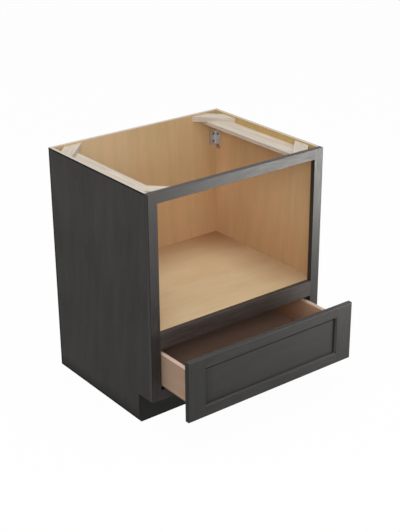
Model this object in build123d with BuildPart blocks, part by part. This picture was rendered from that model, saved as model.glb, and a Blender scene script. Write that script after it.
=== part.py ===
"""Base microwave cabinet: an open-topped, framed kitchen unit with a compartment over one drawer.

Millimetres. X runs to the right, Y runs back to the wall and Z runs up. The origin is on the
wall face of the back panel, at the middle of the cabinet, at floor height. The front faces -Y.
The drawer is drawn part open, and every moving piece is placed for that opening.
"""

from math import sqrt
import os

from build123d import *

os.makedirs("parts", exist_ok=True)

# ---------------------------------------------------------------- carcass sizes
cabinet_width = 762.0  # 30 in
cabinet_depth = 609.6  # 24 in, from the wall to the front of the face frame
cabinet_height = 876.3  # 34 1/2 in, floor to the seat of the worktop
side_thickness = 12.7
back_thickness = 12.7
shelf_thickness = 12.7
bottom_thickness = 12.7
toe_height = 107.95
toe_depth = 73.0  # front of the face frame to the front of the toe board
toe_board_thickness = 12.7
housing_depth = 6.35  # housings and rabbets that the panels are let into
glue_gap = 0.1  # room left at the bottom of each glued joint

# ---------------------------------------------------------------- face frame sizes
frame_thickness = 19.05
stile_width = 38.1
top_rail_width = 38.1
mid_rail_width = 60.325
bottom_rail_width = 38.1
drawer_opening_height = 158.75
frame_edge_radius = 0.8
tenon_thickness = 6.35
tenon_length = 19.05
tenon_shoulder = 9.5
tongue_thickness = 6.35  # tongue on the side panel's front edge, let into the stile
tongue_length = 6.0
tongue_stop = 12.7  # the tongue stops short of both ends of the stile

# ---------------------------------------------------------------- worktop supports
cleat_width = 76.2
cleat_thickness = 12.7
cleat_drop = 25.4  # top of the side panel down to the top of the cleat
block_width = 50.8
block_thickness = 19.05
block_long_edge = 165.1
worktop_hole_side_inset = 24.0  # from the side panel
worktop_hole_end_inset = 36.0  # from the face frame or the back panel
worktop_hole_radius = 2.75

# ---------------------------------------------------------------- corner brackets
bracket_sheet = 1.5
bracket_back_leg = 33.0
bracket_side_leg = 28.0
bracket_height = 55.0
bracket_side_extra = 16.0  # how much lower the side leg reaches than the back leg
bracket_drop = 44.0  # underside of the cleat to the top of the bracket
bracket_bend_radius = 2.6
bracket_corner_radius = 3.0
bracket_hole_spacing = 29.5
bracket_hole_inset = 14.0  # from the corner of the cabinet, on both legs

# ---------------------------------------------------------------- drawer box sizes
box_height = 127.0
box_thickness = 15.875
box_side_clearance = 4.75  # box to the face frame, each side
box_floor_clearance = 14.3  # bottom rail to the lower edge of the box
box_edge_radius = 4.5
drawer_bottom_thickness = 6.35
drawer_bottom_recess = 12.7  # lower edge of the box to the underside of the bottom
groove_depth = 6.35
tail_count = 5
tail_lap = 6.35  # wood left in front of the half-blind tails
tail_root = 12.4  # width of a tail at its shoulder
tail_tip = 17.0  # width of a tail at its end

# ---------------------------------------------------------------- drawer front sizes
front_side_reveal = 11.1
front_bottom_reveal = 9.525
front_height = 225.4
front_thickness = 19.05
front_stile_width = 72.0
front_rail_width = 40.0
front_edge_radius = 3.0
front_inner_bevel = 1.6  # around the recess of the panel
panel_recess = 11.0
panel_thickness = 5.2
panel_groove_depth = 9.5
panel_float = 1.0  # room for the panel to move in its groove

# ---------------------------------------------------------------- opening of the drawer
closed_gap = 2.0  # drawer front to face frame when shut, taken up by the bumpers
rest_opening = 171.5
middle_ratio = 0.5  # the middle slide moves half as far as the drawer
lower_cage_ratio = 0.25
upper_cage_ratio = 0.75

# ---------------------------------------------------------------- concealed slide sizes
# Across the slide, positions count inwards from the edge of the stile.
# Up the slide, heights count from the top of the bottom rail.
slide_sheet = 1.5
slide_setback = 3.0  # front of the face frame to the front of the rail
slide_rear_gap = 60.5  # back of the rail to the back panel
slide_floor_gap = 1.5
flange_height = 36.0
track_near = 23.0  # near edge of the track, clear of the drawer side
track_width = 26.0
track_height = 11.0
track_lip = 4.75
bend_radius = 1.5  # on the middle of the sheet
middle_shortfall = 63.4  # how much shorter the middle slide is than the rail
middle_setback = 1.5  # back of the drawer's inner front to the middle slide, drawer shut
lower_flange_width = 20.0
upper_flange_width = 18.0
runner_gap = 0.5  # back of the drawer's inner front to the front of the runner
runner_height = 12.0
roller_radius = 2.2
roller_length = 14.0
roller_sides = 16
roller_gap = 0.3
roller_count = 4
roller_pitch = 44.0
roller_window_gap = 0.3
cage_thickness = 1.2
cage_width = 20.0
cage_end = 8.0
lower_cage_front = 160.0  # front of the rail to the front of the cage, drawer shut
upper_cage_front = 178.0  # front of the runner to the front of the cage, drawer shut
hook_sheet = 1.8
hook_height = 14.0
hook_width = 12.0
hook_gap = 0.2
hook_pin_radius = 2.75
hook_pin_length = 9.0
hook_hole_gap = 0.4
back_notch_gap = 1.2  # around the slide where it passes under the back of the box
rear_arm_lap = 25.5  # how far the rear bracket's arm reaches under the rail
rear_plate_height = 36.0
rear_plate_corner = 3.0

# ---------------------------------------------------------------- locking device sizes
lock_plate_thickness = 2.5
lock_near = 1.3  # slide track to the device
lock_width = 30.0
lock_length = 52.0
lock_corner_radius = 3.0
lock_wall_height = 12.2
lock_wall_inset = 9.0
lever_gap = 0.3
lever_thickness = 4.0
lever_arm_width = 6.5
lever_pivot_back = 40.0
lever_pivot_inset = 3.7
lever_pin_radius = 2.0
lever_pin_head_radius = 3.4
lever_pin_head_thickness = 1.5
lever_hub_radius = 4.4
lever_front = 7.0
lever_tab_reach = 27.0
lever_tab_width = 8.0
latch_front = 13.0
latch_length = 7.0
latch_depth = 1.2  # how far the tooth enters the runner's window
window_end_gap = 1.0

# ---------------------------------------------------------------- fasteners and bumpers
screw_head_radius = 4.0
screw_head_height = 2.4
screw_shank_radius = 1.9
screw_head_sides = 12
screw_shank_sides = 8
screw_head_taper = 35.0  # degrees
screw_fit = 0.05
bracket_screw_length = 11.5
rail_screw_length = 18.0
rear_screw_length = 11.5
front_screw_length = 28.0
lock_screw_length = 13.0
rail_screw_heights = (10.0, 28.0)
rear_screw_heights = (12.0, 28.0)
front_screw_inset = 8.0  # inside face of the box to the screw
front_screw_heights = (40.0, 100.0)
lock_screw_spacing = 14.0
lock_screw_height = 20.5
bumper_radius = 4.8
bumper_height = 1.6
bumper_inset = 12.0

# ---------------------------------------------------------------- derived levels and faces
half_width = cabinet_width / 2
side_inner_x = half_width - side_thickness
housing_x = side_inner_x + housing_depth
tongue_inner_x = side_inner_x + (side_thickness - tongue_thickness) / 2
opening_x = half_width - stile_width
frame_front_y = -cabinet_depth
frame_back_y = frame_front_y + frame_thickness
back_inner_y = -back_thickness
toe_front_y = frame_front_y + toe_depth
toe_back_y = toe_front_y + toe_board_thickness
bottom_rail_top_z = toe_height + bottom_rail_width
mid_rail_bottom_z = bottom_rail_top_z + drawer_opening_height
mid_rail_top_z = mid_rail_bottom_z + mid_rail_width
top_rail_bottom_z = cabinet_height - top_rail_width
cleat_top_z = cabinet_height - cleat_drop
cleat_bottom_z = cleat_top_z - cleat_thickness
block_top_z = cleat_top_z + block_thickness
block_inner_leg = block_long_edge / sqrt(2)
block_outer_leg = block_inner_leg - block_width * sqrt(2)
bracket_top_z = cleat_bottom_z - bracket_drop
bracket_middle_z = bracket_top_z - bracket_height / 2
rail_front_y = frame_front_y + slide_setback
rail_back_y = back_inner_y - slide_rear_gap
slide_length = rail_back_y - rail_front_y
middle_length = slide_length - middle_shortfall

front_back_y = frame_front_y - closed_gap - rest_opening
front_face_y = front_back_y - front_thickness
front_half_width = half_width - front_side_reveal
front_bottom_z = toe_height + front_bottom_reveal
front_top_z = front_bottom_z + front_height
box_half_width = opening_x - box_side_clearance
box_inner_x = box_half_width - box_thickness
box_bottom_z = bottom_rail_top_z + box_floor_clearance
box_top_z = box_bottom_z + box_height
box_front_y = front_back_y
box_back_y = box_front_y + slide_length  # the box is as deep as its slides are long
inner_front_back_y = box_front_y + box_thickness
drawer_bottom_z = box_bottom_z + drawer_bottom_recess


def save(piece, label):
    """Name a finished piece and write it."""
    piece.label = label
    export_step(piece, f"parts/{label}.step")


def save_pair(left_piece, name):
    """Write a left-hand piece, and its mirror image as the right-hand one."""
    with BuildPart() as right_piece:
        mirror(left_piece, about=Plane.YZ)
    save(left_piece, f"left_{name}")
    save(right_piece.part, f"right_{name}")


def block(low, high, mode=Mode.ADD):
    """A rectangular block between two opposite corners."""
    middle = [(a + b) / 2 for a, b in zip(low, high)]
    with Locations(tuple(middle)):
        Box(*[b - a for a, b in zip(low, high)], mode=mode)


def drill(places, radius, depth):
    """Round holes from each place, running against its Z axis."""
    with Locations(*places):
        Cylinder(
            radius,
            depth,
            align=(Align.CENTER, Align.CENTER, Align.MAX),
            mode=Mode.SUBTRACT,
        )


def place(x, y, z, direction):
    """A fastener's seat: its origin lies under the head, and the head points along direction."""
    return Plane(origin=(x, y, z), z_dir=direction).location


def screws(places, length):
    """A group of pan-head screws, one solid at each place, with their shanks drawn as prisms."""
    with BuildPart() as screw:
        with BuildSketch(Plane.XY):
            RegularPolygon(screw_head_radius, screw_head_sides)
        extrude(amount=screw_head_height, taper=screw_head_taper)
        with BuildSketch(Plane.XY):
            RegularPolygon(screw_shank_radius, screw_shank_sides)
        extrude(amount=-length)
    with BuildPart() as group:
        with Locations(*places):
            add(screw.part)
    return group.part


def drill_for(places, length):
    """Pilot holes that the screws at these places fill."""
    with BuildPart(mode=Mode.PRIVATE) as pilot:
        with BuildSketch(Plane.XY):
            RegularPolygon(screw_shank_radius + screw_fit, screw_shank_sides)
        extrude(amount=-length - screw_fit)
    with Locations(*places):
        add(pilot.part, mode=Mode.SUBTRACT)


# ---------------------------------------------------------------- screw places
# left-hand places; the right-hand ones are their mirror images
slide_x = -opening_x


def across(distance):
    """X of a point of the left slide, counted inwards from the edge of the stile."""
    return slide_x + distance


def above(height):
    """Z of a point of the slide, counted from the top of the bottom rail."""
    return bottom_rail_top_z + height


bracket_hole_heights = [
    bracket_middle_z + offset
    for offset in (-bracket_hole_spacing / 2, bracket_hole_spacing / 2)
]
side_bracket_places = [
    place(
        -side_inner_x + bracket_sheet,
        back_inner_y - bracket_hole_inset,
        height,
        (1, 0, 0),
    )
    for height in (bracket_hole_heights[0] - bracket_side_extra, bracket_hole_heights[1])
]
back_bracket_places = [
    place(
        -side_inner_x + bracket_hole_inset,
        back_inner_y - bracket_sheet,
        height,
        (0, -1, 0),
    )
    for height in bracket_hole_heights
]
rail_screw_places = [
    place(
        across(slide_sheet),
        frame_front_y + frame_thickness / 2,
        above(height),
        (1, 0, 0),
    )
    for height in rail_screw_heights
]
rear_plate_middle = track_near + track_width / 2
rear_screw_places = [
    place(
        across(rear_plate_middle),
        back_inner_y - slide_sheet,
        above(height),
        (0, -1, 0),
    )
    for height in rear_screw_heights
]
front_screw_places = [
    place(
        -box_inner_x + front_screw_inset,
        inner_front_back_y,
        box_bottom_z + height,
        (0, 1, 0),
    )
    for height in front_screw_heights
]
lock_edge = track_near + track_width + lock_near
lock_screw_middle = lock_edge + lock_width - lock_wall_inset
lock_screw_places = [
    place(
        across(lock_screw_middle + offset),
        inner_front_back_y + lock_plate_thickness,
        above(lock_screw_height),
        (0, 1, 0),
    )
    for offset in (-lock_screw_spacing / 2, lock_screw_spacing / 2)
]


def mirrored(places):
    """The same places on the other side of the cabinet."""
    flipped = []
    for spot in places:
        spot_plane = Plane(spot)
        at = spot_plane.origin
        facing = spot_plane.z_dir
        flipped.append(place(-at.X, at.Y, at.Z, (-facing.X, facing.Y, facing.Z)))
    return flipped


# ---------------------------------------------------------------- side panels
with BuildPart() as side_panel:
    with BuildSketch(Plane.YZ.offset(-half_width)):
        with BuildLine():
            Polyline(
                (frame_back_y, toe_height),
                (toe_back_y, toe_height),
                (toe_back_y, 0),
                (0, 0),
                (0, cabinet_height),
                (frame_back_y, cabinet_height),
                close=True,
            )
        make_face()
    extrude(amount=side_thickness)
    block(
        (
            -tongue_inner_x - tongue_thickness,
            frame_back_y - tongue_length,
            toe_height + tongue_stop,
        ),
        (-tongue_inner_x, frame_back_y, cabinet_height - tongue_stop),
    )
    for housing_top, panel in (
        (mid_rail_top_z, shelf_thickness),
        (bottom_rail_top_z, bottom_thickness),
    ):
        block(
            (-housing_x, frame_back_y, housing_top - panel),
            (-side_inner_x, back_inner_y, housing_top),
            mode=Mode.SUBTRACT,
        )
    block(
        (-housing_x, back_inner_y, 0),
        (-side_inner_x, 0, cabinet_height),
        mode=Mode.SUBTRACT,
    )
    drill_for(side_bracket_places, bracket_screw_length)
save_pair(side_panel.part, "side_panel")

# ---------------------------------------------------------------- back, shelf and bottom
panel_end_x = housing_x - glue_gap
with BuildPart() as back_panel:
    block((-panel_end_x, back_inner_y, 0), (panel_end_x, 0, cabinet_height))
    drill_for(
        back_bracket_places + mirrored(back_bracket_places), bracket_screw_length
    )
    drill_for(rear_screw_places + mirrored(rear_screw_places), rear_screw_length)
save(back_panel.part, "back_panel")

with BuildPart() as microwave_shelf:
    block(
        (-panel_end_x, frame_back_y, mid_rail_top_z - shelf_thickness),
        (panel_end_x, back_inner_y, mid_rail_top_z),
    )
save(microwave_shelf.part, "microwave_shelf")

with BuildPart() as cabinet_bottom:
    block(
        (-panel_end_x, frame_back_y, bottom_rail_top_z - bottom_thickness),
        (panel_end_x, back_inner_y, bottom_rail_top_z),
    )
save(cabinet_bottom.part, "cabinet_bottom")

with BuildPart() as toe_kick_board:
    block((-half_width, toe_front_y, 0), (half_width, toe_back_y, toe_height))
save(toe_kick_board.part, "toe_kick_board")

# ---------------------------------------------------------------- face frame
frame_middle_y = frame_front_y + frame_thickness / 2
rails = {
    "bottom_rail": (toe_height, bottom_rail_top_z),
    "mid_rail": (mid_rail_bottom_z, mid_rail_top_z),
    "top_rail": (top_rail_bottom_z, cabinet_height),
}


def tenon(rail_bottom_z, rail_top_z, low_x, high_x, mode=Mode.ADD):
    """A rail's stub tenon, or the mortise for it, between two X positions."""
    block(
        (low_x, frame_middle_y - tenon_thickness / 2, rail_bottom_z + tenon_shoulder),
        (high_x, frame_middle_y + tenon_thickness / 2, rail_top_z - tenon_shoulder),
        mode=mode,
    )


with BuildPart() as stile:
    block(
        (-half_width, frame_front_y, toe_height),
        (-opening_x, frame_back_y, cabinet_height),
    )
    outer_front_edges = (
        stile.edges()
        .filter_by(Axis.Z)
        .group_by(Axis.Y)[0]
        .sort_by(Axis.X)[0]
    )
    fillet(outer_front_edges, radius=frame_edge_radius)
    block(
        (
            -tongue_inner_x - tongue_thickness,
            frame_back_y - tongue_length - glue_gap,
            toe_height + tongue_stop,
        ),
        (-tongue_inner_x, frame_back_y, cabinet_height - tongue_stop),
        mode=Mode.SUBTRACT,
    )
    for rail_bottom_z, rail_top_z in rails.values():
        tenon(
            rail_bottom_z,
            rail_top_z,
            -opening_x - tenon_length - glue_gap,
            -opening_x,
            Mode.SUBTRACT,
        )
    drill_for(rail_screw_places, rail_screw_length)
save_pair(stile.part, "stile")

for rail_name, (rail_bottom_z, rail_top_z) in rails.items():
    with BuildPart() as rail:
        block(
            (-opening_x, frame_front_y, rail_bottom_z),
            (opening_x, frame_back_y, rail_top_z),
        )
        fillet(
            rail.edges().filter_by(Axis.X).group_by(Axis.Y)[0],
            radius=frame_edge_radius,
        )
        tenon(
            rail_bottom_z, rail_top_z, -opening_x - tenon_length, opening_x + tenon_length
        )
    save(rail.part, rail_name)

# ---------------------------------------------------------------- cleats and corner blocks
# the corners of the open top: a sign for X, and the wall's Y with the sign that points inwards
corners = {
    "front_left": (-1, frame_back_y, 1),
    "front_right": (1, frame_back_y, 1),
    "back_left": (-1, back_inner_y, -1),
    "back_right": (1, back_inner_y, -1),
}


def corner_point(corner, along_x, along_y):
    """A point of a corner, counted inwards from both of its walls."""
    x_sign, wall_y, inwards = corner
    return (x_sign * (side_inner_x - along_x), wall_y + inwards * along_y)


worktop_hole_places = [
    place(
        *corner_point(corner, worktop_hole_side_inset, worktop_hole_end_inset),
        block_top_z,
        (0, 0, 1),
    )
    for corner in corners.values()
]
worktop_hole_depth = block_top_z - cleat_bottom_z

with BuildPart() as top_cleat:
    block(
        (-side_inner_x, frame_back_y, cleat_bottom_z),
        (-side_inner_x + cleat_width, back_inner_y, cleat_top_z),
    )
    drill(worktop_hole_places, worktop_hole_radius, worktop_hole_depth)
save_pair(top_cleat.part, "top_cleat")

for corner_name, corner in corners.items():
    with BuildPart() as corner_block:
        with BuildSketch(Plane.XY.offset(cleat_top_z)):
            with BuildLine():
                Polyline(
                    corner_point(corner, block_outer_leg, 0),
                    corner_point(corner, block_inner_leg, 0),
                    corner_point(corner, 0, block_inner_leg),
                    corner_point(corner, 0, block_outer_leg),
                    close=True,
                )
            make_face()
        extrude(amount=block_thickness)
        drill(worktop_hole_places, worktop_hole_radius, worktop_hole_depth)
    save(corner_block.part, f"{corner_name}_corner_block")

# ---------------------------------------------------------------- steel corner brackets
bracket_bottom_z = bracket_top_z - bracket_height
bracket_tail_z = bracket_bottom_z - bracket_side_extra
half_sheet = bracket_sheet / 2
with BuildPart() as corner_bracket:
    with BuildSketch(Plane.XY.offset(bracket_tail_z)):
        with BuildLine():
            FilletPolyline(
                (-side_inner_x + half_sheet, back_inner_y - bracket_side_leg),
                (-side_inner_x + half_sheet, back_inner_y - half_sheet),
                (-side_inner_x + bracket_back_leg, back_inner_y - half_sheet),
                radius=bracket_bend_radius,
            )
        trace(line_width=bracket_sheet)
    extrude(amount=bracket_top_z - bracket_tail_z)
    block(
        (
            -side_inner_x,
            back_inner_y - bracket_bend_radius - half_sheet,
            bracket_tail_z,
        ),
        (-side_inner_x + bracket_back_leg, back_inner_y, bracket_bottom_z),
        mode=Mode.SUBTRACT,
    )
    leg_corners = (
        corner_bracket.edges().filter_by(Axis.X).group_by(Axis.Y)[0]
        + corner_bracket.edges().filter_by(Axis.Y).group_by(Axis.X)[-1]
    )
    fillet(leg_corners, radius=bracket_corner_radius)
    drill_for(side_bracket_places + back_bracket_places, bracket_sheet)
save_pair(corner_bracket.part, "corner_bracket")

bracket_places = side_bracket_places + back_bracket_places
bracket_screws = screws(bracket_places + mirrored(bracket_places), bracket_screw_length)
save(bracket_screws, "bracket_screws")

# ---------------------------------------------------------------- slide rail on the cabinet
rail_base = slide_floor_gap + slide_sheet / 2  # height of the middle of the base
track_top = slide_floor_gap + track_height - slide_sheet / 2
track_low_x = across(track_near + slide_sheet / 2)
track_high_x = across(track_near + track_width - slide_sheet / 2)
track_middle = track_near + track_width / 2


def profile_plane(back_y):
    """The plane of a slide's cross-section, from which it is extruded towards the front."""
    return Plane(origin=(0, back_y, 0), x_dir=(1, 0, 0), z_dir=(0, -1, 0))


def folded(*points):
    """A folded strip of sheet along these points on the middle of its thickness."""
    with BuildLine() as fold_line:
        FilletPolyline(*points, radius=bend_radius)
    trace(fold_line.line, line_width=slide_sheet)


with BuildPart() as slide_rail:
    with BuildSketch(profile_plane(rail_back_y)):
        folded(
            (across(slide_sheet / 2), above(flange_height)),
            (across(slide_sheet / 2), above(rail_base)),
            (track_high_x, above(rail_base)),
            (track_high_x, above(track_top)),
            (track_high_x - track_lip, above(track_top)),
        )
        folded(
            (track_low_x, above(rail_base)),
            (track_low_x, above(track_top)),
            (track_low_x + track_lip, above(track_top)),
        )
    extrude(amount=slide_length)
    drill_for(rail_screw_places, slide_sheet)
save_pair(slide_rail.part, "slide_rail")

rail_screw_group = screws(
    rail_screw_places + mirrored(rail_screw_places), rail_screw_length
)
save(rail_screw_group, "slide_rail_screws")

# ---------------------------------------------------------------- rear brackets of the slides
with BuildPart() as rear_bracket:
    with BuildSketch(Plane.YZ.offset(across(0))):
        with BuildLine():
            arm_z = above(slide_floor_gap / 2)
            plate_y = back_inner_y - slide_sheet / 2
            FilletPolyline(
                (rail_back_y - rear_arm_lap, arm_z),
                (plate_y, arm_z),
                (plate_y, above(rear_plate_height)),
                radius=bend_radius,
            )
        trace(line_width=slide_sheet)
    extrude(amount=track_near + track_width)
    fillet(
        rear_bracket.edges().filter_by(Axis.Y).group_by(Axis.Z)[-1],
        radius=rear_plate_corner,
    )
    drill_for(rear_screw_places, slide_sheet)
save_pair(rear_bracket.part, "slide_rear_bracket")

rear_screw_group = screws(
    rear_screw_places + mirrored(rear_screw_places), rear_screw_length
)
save(rear_screw_group, "rear_bracket_screws")

# ---------------------------------------------------------------- roller cages and rollers
lower_roller_z = slide_floor_gap + slide_sheet + roller_gap + roller_radius
middle_low = lower_roller_z + roller_radius + roller_gap  # underside of the middle slide
runner_top = box_floor_clearance + drawer_bottom_recess
upper_roller_z = runner_top - slide_sheet - roller_gap - roller_radius
middle_high = upper_roller_z - roller_radius - roller_gap  # top of the middle slide
cage_length = (roller_count - 1) * roller_pitch + 2 * cage_end


def roller_set(front_y, height, name):
    """A cage and its rollers, both lying at one height, starting at front_y."""
    roller_rows = [
        (
            across(track_middle),
            front_y + cage_end + index * roller_pitch,
            above(height),
        )
        for index in range(roller_count)
    ]
    with BuildPart() as cage:
        block(
            (
                across(track_middle - cage_width / 2),
                front_y,
                above(height - cage_thickness / 2),
            ),
            (
                across(track_middle + cage_width / 2),
                front_y + cage_length,
                above(height + cage_thickness / 2),
            ),
        )
        with Locations(*roller_rows):
            Box(
                roller_length + 2 * roller_window_gap,
                2 * (roller_radius + roller_window_gap),
                cage_thickness,
                mode=Mode.SUBTRACT,
            )
    with BuildPart() as roller:
        with BuildSketch(Plane.YZ.offset(-roller_length / 2)):
            RegularPolygon(roller_radius, roller_sides)
        extrude(amount=roller_length)
    with BuildPart() as rollers:
        with Locations(*roller_rows):
            add(roller.part)
    save_pair(cage.part, f"{name}_roller_cage")
    save_pair(rollers.part, f"{name}_rollers")


lower_cage_y = rail_front_y + lower_cage_front - lower_cage_ratio * rest_opening
roller_set(lower_cage_y, lower_roller_z, "lower")

runner_front_y = inner_front_back_y + runner_gap
upper_cage_y = (
    runner_front_y
    + upper_cage_front
    + (1 - upper_cage_ratio) * rest_opening
)
roller_set(upper_cage_y, upper_roller_z, "upper")

# ---------------------------------------------------------------- middle slide
middle_front_y = (
    inner_front_back_y + middle_setback + (1 - middle_ratio) * rest_opening
)
with BuildPart() as middle_slide:
    with BuildSketch(profile_plane(middle_front_y + middle_length)):
        flange_heights = (middle_low + slide_sheet / 2, middle_high - slide_sheet / 2)
        for flange_z, flange_width in zip(
            flange_heights, (lower_flange_width, upper_flange_width)
        ):
            with Locations((across(track_middle), above(flange_z))):
                Rectangle(flange_width, slide_sheet)
        web_middle_z = above(sum(flange_heights) / 2)
        with Locations((across(track_middle), web_middle_z)):
            Rectangle(slide_sheet, flange_heights[1] - flange_heights[0])
    extrude(amount=middle_length)
save_pair(middle_slide.part, "middle_slide")

# ---------------------------------------------------------------- runner under the drawer
runner_roof = runner_top - slide_sheet / 2
runner_foot = runner_top - runner_height + slide_sheet / 2
runner_back_y = box_back_y + hook_gap + hook_sheet
runner_length = runner_back_y - runner_front_y
hook_z = runner_top + hook_height * 0.55
latch_middle_y = inner_front_back_y + latch_front + latch_length / 2
lever_top = runner_top - lock_plate_thickness - lever_gap
lever_bottom = lever_top - lever_thickness

with BuildPart() as drawer_runner:
    with BuildSketch(profile_plane(runner_back_y)):
        folded(
            (track_low_x + track_lip, above(runner_foot)),
            (track_low_x, above(runner_foot)),
            (track_low_x, above(runner_roof)),
            (track_high_x, above(runner_roof)),
            (track_high_x, above(runner_foot)),
            (track_high_x - track_lip, above(runner_foot)),
        )
    extrude(amount=runner_length)
    # the rear hook stands behind the box, with a pin into its back
    block(
        (
            across(track_middle - hook_width / 2),
            box_back_y + hook_gap,
            above(runner_roof),
        ),
        (
            across(track_middle + hook_width / 2),
            runner_back_y,
            above(runner_top + hook_height),
        ),
    )
    with Locations(place(across(track_middle), runner_back_y, above(hook_z), (0, 1, 0))):
        Cylinder(
            hook_pin_radius,
            hook_sheet + hook_gap + hook_pin_length,
            align=(Align.CENTER, Align.CENTER, Align.MAX),
        )
    # the window that the release lever's tooth drops into
    block(
        (
            track_high_x - slide_sheet / 2,
            latch_middle_y - latch_length / 2 - window_end_gap,
            above(lever_bottom - lever_gap),
        ),
        (
            track_high_x + slide_sheet / 2,
            latch_middle_y + latch_length / 2 + window_end_gap,
            above(lever_top + lever_gap),
        ),
        mode=Mode.SUBTRACT,
    )
save_pair(drawer_runner.part, "drawer_runner")

# ---------------------------------------------------------------- dovetailed drawer box
tail_pitch = box_height / tail_count
tail_heights = [box_bottom_z + (index + 0.5) * tail_pitch for index in range(tail_count)]
tail_length = box_thickness - tail_lap
bottom_end_x = box_inner_x + groove_depth
bottom_front_y = inner_front_back_y - groove_depth
box_back_front_y = box_back_y - box_thickness
bottom_back_y = box_back_front_y + groove_depth


def tails(shoulder_y, outwards, slack=0.0):
    """The outlines of one end's row of tails, growing outwards along Y from the shoulder."""
    reach = outwards * (tail_length + slack)
    for height in tail_heights:
        with BuildLine() as tail:
            Polyline(
                (shoulder_y, height - tail_root / 2 - slack),
                (shoulder_y + reach, height - tail_tip / 2 - slack),
                (shoulder_y + reach, height + tail_tip / 2 + slack),
                (shoulder_y, height + tail_root / 2 + slack),
                close=True,
            )
        make_face(tail.edges())


def bottom_groove():
    """The groove that holds the drawer bottom, cut in all four sides of the box."""
    block(
        (-bottom_end_x, bottom_front_y, drawer_bottom_z),
        (bottom_end_x, bottom_back_y, drawer_bottom_z + drawer_bottom_thickness),
        mode=Mode.SUBTRACT,
    )


with BuildPart() as drawer_side:
    with BuildSketch(Plane.YZ.offset(-box_half_width)):
        with BuildLine():
            Polyline(
                (inner_front_back_y, box_bottom_z),
                (box_back_front_y, box_bottom_z),
                (box_back_front_y, box_top_z),
                (inner_front_back_y, box_top_z),
                close=True,
            )
        make_face()
        tails(inner_front_back_y, -1)
        tails(box_back_front_y, 1)
    extrude(amount=box_thickness)
    fillet(
        drawer_side.edges().filter_by(Axis.Y).group_by(Axis.Z)[-1],
        radius=box_edge_radius,
    )
    bottom_groove()
save_pair(drawer_side.part, "drawer_side")


def box_end(low_y, high_y, shoulder_y, outwards):
    """The inner front or the back of the box, with sockets for the tails of both sides."""
    with BuildPart(mode=Mode.PRIVATE) as plank:
        block(
            (-box_half_width, low_y, box_bottom_z), (box_half_width, high_y, box_top_z)
        )
        top_edges = plank.edges().filter_by(Axis.X).group_by(Axis.Z)[-1]
        fillet(top_edges, radius=box_edge_radius)
    add(plank.part)
    for socket_x in (-box_half_width, box_inner_x):
        with BuildSketch(Plane.YZ.offset(socket_x)) as sockets:
            tails(shoulder_y, outwards, glue_gap)
        extrude(sockets.sketch, amount=box_thickness, mode=Mode.SUBTRACT)
    bottom_groove()


with BuildPart() as drawer_inner_front:
    box_end(box_front_y, inner_front_back_y, inner_front_back_y, -1)
    drill_for(front_screw_places + mirrored(front_screw_places), front_screw_length)
    drill_for(lock_screw_places + mirrored(lock_screw_places), lock_screw_length)
save(drawer_inner_front.part, "drawer_inner_front")

hook_hole_places = [place(across(track_middle), box_back_y, above(hook_z), (0, 1, 0))]
with BuildPart() as drawer_back:
    box_end(box_back_front_y, box_back_y, box_back_front_y, 1)
    for notch_sign in (-1, 1):
        notch_ends = sorted(
            notch_sign * across(distance)
            for distance in (
                track_near - back_notch_gap,
                track_near + track_width + back_notch_gap,
            )
        )
        block(
            (notch_ends[0], box_back_front_y, box_bottom_z),
            (notch_ends[1], box_back_y, drawer_bottom_z),
            mode=Mode.SUBTRACT,
        )
    drill(
        hook_hole_places + mirrored(hook_hole_places),
        hook_pin_radius + hook_hole_gap,
        hook_pin_length + hook_hole_gap,
    )
save(drawer_back.part, "drawer_back")

with BuildPart() as drawer_bottom:
    block(
        (-bottom_end_x + glue_gap, bottom_front_y + glue_gap, drawer_bottom_z),
        (
            bottom_end_x - glue_gap,
            bottom_back_y - glue_gap,
            drawer_bottom_z + drawer_bottom_thickness,
        ),
    )
save(drawer_bottom.part, "drawer_bottom")

# ---------------------------------------------------------------- five-piece drawer front
panel_front_y = front_face_y + panel_recess
panel_back_y = panel_front_y + panel_thickness
front_inner_x = front_half_width - front_stile_width
recess_bottom_z = front_bottom_z + front_rail_width
recess_top_z = front_top_z - front_rail_width


def ease_recess():
    """Cut the bevel around the recess away from a stile or rail of the front."""
    bevel_plane = Plane(
        origin=(0, front_face_y, (recess_bottom_z + recess_top_z) / 2),
        x_dir=(1, 0, 0),
        z_dir=(0, 1, 0),
    )
    with BuildPart(mode=Mode.PRIVATE) as bevel:
        with BuildSketch(bevel_plane):
            Rectangle(
                2 * (front_inner_x + front_inner_bevel),
                recess_top_z - recess_bottom_z + 2 * front_inner_bevel,
            )
        extrude(amount=front_inner_bevel, taper=45)
    add(bevel.part, mode=Mode.SUBTRACT)


with BuildPart() as front_stile:
    block(
        (-front_half_width, front_face_y, front_bottom_z),
        (-front_inner_x, front_back_y, front_top_z),
    )
    face_edges = front_stile.edges().group_by(Axis.Y)[0]
    fillet(face_edges.sort_by(Axis.X)[:3], radius=front_edge_radius)
    ease_recess()
    block(
        (-front_inner_x - panel_groove_depth, panel_front_y, front_bottom_z),
        (-front_inner_x, panel_back_y, front_top_z),
        mode=Mode.SUBTRACT,
    )
    drill_for(front_screw_places, front_screw_length)
save_pair(front_stile.part, "front_stile")

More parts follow.
